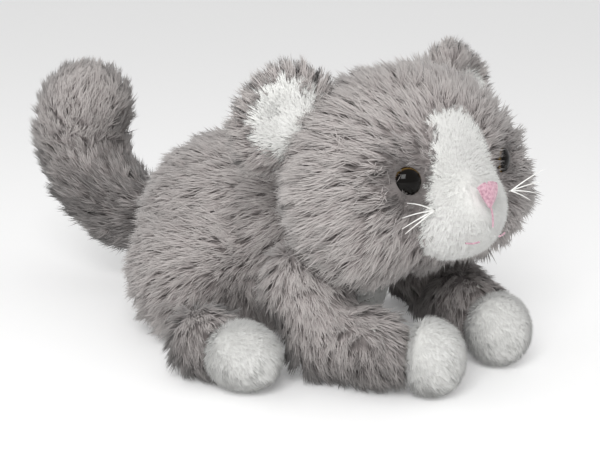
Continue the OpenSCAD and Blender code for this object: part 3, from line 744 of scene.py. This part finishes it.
dome = [(2.0, -8.0, 1), (2.0, -0.4, 1), (6.2, -0.4, 1), (6.7, 0.1, 1.0), (6.75, 0.6, 1.0)]
dome += [(6.75 * math.cos(a), 0.8 + 4.86 * math.sin(a), math.cos(a))
         for a in np.radians(np.linspace(4, 90, 16))]
for s, label in ((1, "left"), (-1, "right")):
    seat, way = eye_seat(s)
    seat, way = sewn_on(seat), sewn_on(way) - NECK
    eye = turned_piece("eye_%s_dome" % label, dome, 40, seat, way)
    eye.data.materials.append(EYE)
    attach(eye, "head")
    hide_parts("eye_" + label)


# ---------------------------------------------------------------- nose and mouth
# The nose is satin-stitched in pink thread over a little pad, its stitches running
# from the top edge to the point.  One stitch and two small ones below make the mouth.
def thread_tree():
    t = bpy.data.node_groups.new("thread", "GeometryNodeTree")
    s = t.interface
    for name, kind in (("Geometry", "Geometry"), ("Radius", "Float"), ("Sides", "Int"),
                       ("Material", "Material")):
        s.new_socket(name, in_out="INPUT", socket_type="NodeSocket" + kind)
    s.new_socket("Geometry", in_out="OUTPUT", socket_type="NodeSocketGeometry")
    N, link = t.nodes, t.links.new
    g = N.new("NodeGroupInput").outputs
    path = N.new("GeometryNodeMeshToCurve")
    link(g["Geometry"], path.inputs["Mesh"])
    width = N.new("GeometryNodeInputNamedAttribute")
    width.data_type = "FLOAT"
    width.inputs["Name"].default_value = "width"
    scaled = N.new("ShaderNodeMath")
    scaled.operation = "MULTIPLY"
    link([o for o in width.outputs if o.enabled][0], scaled.inputs[0])
    link(g["Radius"], scaled.inputs[1])
    ring = N.new("GeometryNodeCurvePrimitiveCircle")
    ring.inputs["Radius"].default_value = 1.0
    link(g["Sides"], ring.inputs["Resolution"])
    sweep = N.new("GeometryNodeCurveToMesh")
    link(path.outputs[0], sweep.inputs["Curve"])
    link(ring.outputs[0], sweep.inputs["Profile Curve"])
    link(scaled.outputs[0], sweep.inputs["Scale"])
    sweep.inputs["Fill Caps"].default_value = True
    real = N.new("GeometryNodeRealizeInstances")
    link(sweep.outputs[0], real.inputs[0])
    paint = N.new("GeometryNodeSetMaterial")
    link(real.outputs[0], paint.inputs["Geometry"])
    link(g["Material"], paint.inputs["Material"])
    out = N.new("NodeGroupOutput")
    link(paint.outputs[0], out.inputs[0])
    return t


THREAD = thread_tree()


def threads(name, lines, radius, sides, finish, body, node, widths=None):
    """Lays one thread along each line of points (mm)."""
    v, e, w = [], [], []
    for line in lines:
        first = len(v)
        v += [tuple(q) for q in np.array(line) * MM]
        e += [(first + k, first + k + 1) for k in range(len(line) - 1)]
        w += [1.0] * len(line) if widths is None else list(np.interp(np.linspace(0, 1, len(line)), *widths))
    mesh = bpy.data.meshes.new(name)
    mesh.from_pydata(v, e, [])
    mesh.attributes.new("width", "FLOAT", "POINT").data.foreach_set("value", w)
    piece = bpy.data.objects.new(name, mesh)
    bpy.context.scene.collection.objects.link(piece)
    mod = piece.modifiers.new("thread", "NODES")
    mod.node_group = THREAD
    ids = {i.name: i.identifier for i in THREAD.interface.items_tree if i.in_out == "INPUT"}
    mod[ids["Radius"]], mod[ids["Sides"]], mod[ids["Material"]] = radius * MM, sides, finish
    bpy.context.view_layer.update()
    piece.data = bpy.data.meshes.new_from_object(piece.evaluated_get(bpy.context.evaluated_depsgraph_get()))
    piece.modifiers.remove(mod)
    piece.data.shade_smooth()
    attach(piece, body)
    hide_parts(node)


PINK, N, L, shader = finish_named("pink_satin_thread", 0.38, Sheen_Weight=0.35, Sheen_Roughness=0.35)
fleck = N.new("ShaderNodeTexNoise")
fleck.inputs["Scale"].default_value = 900.0
fleck.inputs["Detail"].default_value = 3.0
where = N.new("ShaderNodeTexCoord")
L.new(where.outputs["Object"], fleck.inputs["Vector"])
ramp_into(N, L, fleck.outputs["Fac"], [
    (0.25, (150, 108, 124)), (0.5, (190, 150, 163)), (0.78, (216, 184, 194)),
], shader.inputs["Base Color"])
bump = N.new("ShaderNodeBump")
bump.inputs["Distance"].default_value = 0.0001
bump.inputs["Strength"].default_value = 0.5
L.new(fleck.outputs["Fac"], bump.inputs["Height"])
L.new(bump.outputs[0], shader.inputs["Normal"])


def on_nose(x, y, z):
    """A point of the nose: x across, y up, z out of the pile."""
    c, s = math.cos(math.radians(78)), math.sin(math.radians(78))
    return sewn_on(nose_at + np.array([x, y * c - z * s, y * s + z * c]))


def nose_line(k):
    top = np.array([6.0 * k, 5.4 - 1.2 * k * k - (0.8 if abs(k) < 0.12 else 0)])
    foot = np.array([0.9 * k, -6.0 + 0.9 * abs(k)])
    line = []
    for t in np.linspace(0, 1, 10):
        x, y = top + (foot - top) * t + np.array([0.9 * k * math.sin(math.pi * t), 0])
        line.append(on_nose(x, y, 0.4 + 1.7 * (1 - (2 * t - 1) ** 4) * (1 - 0.55 * k * k)))
    return line


threads("nose_stitches", [nose_line(k) for k in np.linspace(-1, 1, 21)], 0.5, 8, PINK, "head", "nose")


def down_chin(t, x):
    return sewn_on(on_head((x, math.cos(math.radians(t)), math.sin(math.radians(t))), 0.6))


threads("mouth_stitches", [
    [down_chin(t, 0) for t in np.linspace(189, 197, 7)],
    [down_chin(t, x) for t, x in zip((203, 203.6, 203.4), (-0.11, -0.17, -0.23))],
    [down_chin(t, x) for t, x in zip((203, 203.6, 203.4), (0.11, 0.16, 0.21))],
], 0.42, 8, PINK, "head", "mouth_thread")


# ---------------------------------------------------------------- whiskers
# Four stiff white whiskers a side are pulled through the cloth beside the muzzle and
# knotted there.  They taper and droop a little.
WHISKER, N, L, shader = finish_named("white_whisker", 0.35, Coat_Weight=0.3)
streak = N.new("ShaderNodeTexNoise")
streak.inputs["Scale"].default_value = 500.0
where = N.new("ShaderNodeTexCoord")
L.new(where.outputs["Object"], streak.inputs["Vector"])
ramp_into(N, L, streak.outputs["Fac"], [(0.3, (226, 225, 220)), (0.7, (252, 252, 250))],
          shader.inputs["Base Color"])
for s, label in ((1, "left"), (-1, "right")):
    root = on_head((s * 28, -50, -8), -1.0)
    lines = []
    for k in range(4):
        way = unit((s * (1 + 0.12 * k), -0.25 + 0.1 * k, 0.55 - 0.36 * k))
        far = 23.0 - 2 * k
        lines.append([sewn_on(root + way * far * t + np.array([0, 0.06, -0.14 + 0.02 * k]) * far * t * t)
                      for t in np.linspace(0, 1, 9)])
    knot = [sewn_on(root + unit((s, -0.2, 0)) * t) for t in (-1.0, -0.4, 0.3, 0.9)]
    threads("whiskers_%s_threads" % label, lines + [knot, knot], 0.42, 8, WHISKER, "head",
            "whiskers_" + label, ((0, 0.6, 1), (0.8, 0.62, 0.3)))


# ---------------------------------------------------------------- inside
# Under the cloth are loose polyester fibre, the white washers behind the eyes and,
# low behind the belly, the hand-sewn seam that the stuffing went in by.
FILL, N, L, shader = finish_named("loose_fibre", 0.95, Sheen_Weight=0.4)
where = N.new("ShaderNodeTexCoord")
curl = N.new("ShaderNodeTexNoise")
curl.inputs["Scale"].default_value = 140.0
curl.inputs["Detail"].default_value = 6.0
curl.inputs["Distortion"].default_value = 2.5
L.new(where.outputs["Object"], curl.inputs["Vector"])
ramp_into(N, L, curl.outputs["Fac"], [(0.3, (212, 210, 203)), (0.7, (246, 245, 241))],
          shader.inputs["Base Color"])
bump = N.new("ShaderNodeBump")
bump.inputs["Distance"].default_value = 0.001
L.new(curl.outputs["Fac"], bump.inputs["Height"])
L.new(bump.outputs[0], shader.inputs["Normal"])

SEWING, N, L, shader = finish_named("grey_sewing_thread", 0.7)
where = N.new("ShaderNodeTexCoord")
twist = N.new("ShaderNodeTexWave")
twist.inputs["Scale"].default_value = 400.0
twist.inputs["Distortion"].default_value = 1.5
L.new(where.outputs["Object"], twist.inputs["Vector"])
ramp_into(N, L, twist.outputs["Fac"], [(0.2, (104, 97, 95)), (0.8, (160, 153, 150))],
          shader.inputs["Base Color"])

WASHER, N, L, shader = finish_named("natural_moulding", 0.5)
where = N.new("ShaderNodeTexCoord")
cloud = N.new("ShaderNodeTexNoise")
cloud.inputs["Scale"].default_value = 220.0
L.new(where.outputs["Object"], cloud.inputs["Vector"])
ramp_into(N, L, cloud.outputs["Fac"], [(0.3, (214, 213, 208)), (0.7, (232, 231, 227))],
          shader.inputs["Base Color"])
for name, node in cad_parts.items():
    finish = {"filling": FILL, "seam": SEWING, "washer": WASHER}.get(name.split("_")[-1])
    if finish:
        for place in node.material_slots:
            place.material = finish


# ---------------------------------------------------------------- stage
# The cat lies on a plain pale floor in soft, even studio light, with one large
# softbox high in front on its right.
look = np.array([-15.0, 0.0, 61.5])
az, el = math.radians(-47), math.radians(14)
back = np.array([math.sin(az) * math.cos(el), -math.cos(az) * math.cos(el), math.sin(el)])
cam = bpy.data.objects.new("camera", bpy.data.cameras.new("camera"))
cam.location = Vector((look + back * 600) * MM)
cam.rotation_euler = Vector(back).to_track_quat("Z", "Y").to_euler()
cam.data.lens = 72
cam.data.sensor_width = 36
cam.data.clip_start = 0.01
bpy.context.scene.collection.objects.link(cam)
bpy.context.scene.camera = cam
floor = bpy.data.objects.new("floor", bpy.data.meshes.new("floor"))
floor.data.from_pydata([(-6, -6, 0), (6, -6, 0), (6, 6, 0), (-6, 6, 0)], [], [(0, 1, 2, 3)])
bpy.context.scene.collection.objects.link(floor)
pale = bpy.data.materials.new("pale_floor")
pale.use_nodes = True
shader = pale.node_tree.nodes["Principled BSDF"]
shader.inputs["Base Color"].default_value = (0.9, 0.9, 0.9, 1)
shader.inputs["Roughness"].default_value = 0.9
shader.inputs["Emission Color"].default_value = (1, 1, 1, 1)
shader.inputs["Emission Strength"].default_value = 0.14
floor.data.materials.append(pale)
world = bpy.data.worlds.new("studio")
world.use_nodes = True
world.node_tree.nodes["Background"].inputs[0].default_value = (1, 1, 1, 1)
world.node_tree.nodes["Background"].inputs[1].default_value = 0.66
bpy.context.scene.world = world


def softbox(name, place, size, power, aim):
    lamp = bpy.data.lights.new(name, "AREA")
    lamp.size, lamp.energy = size, power
    ob = bpy.data.objects.new(name, lamp)
    ob.location = Vector(place)
    ob.rotation_euler = (Vector(place) - Vector(aim)).to_track_quat("Z", "Y").to_euler()
    bpy.context.scene.collection.objects.link(ob)


softbox("key", (-0.85, -0.6, 0.8), 0.6, 11, (0, 0, 0.06))
bpy.context.scene.view_settings.view_transform = "Standard"
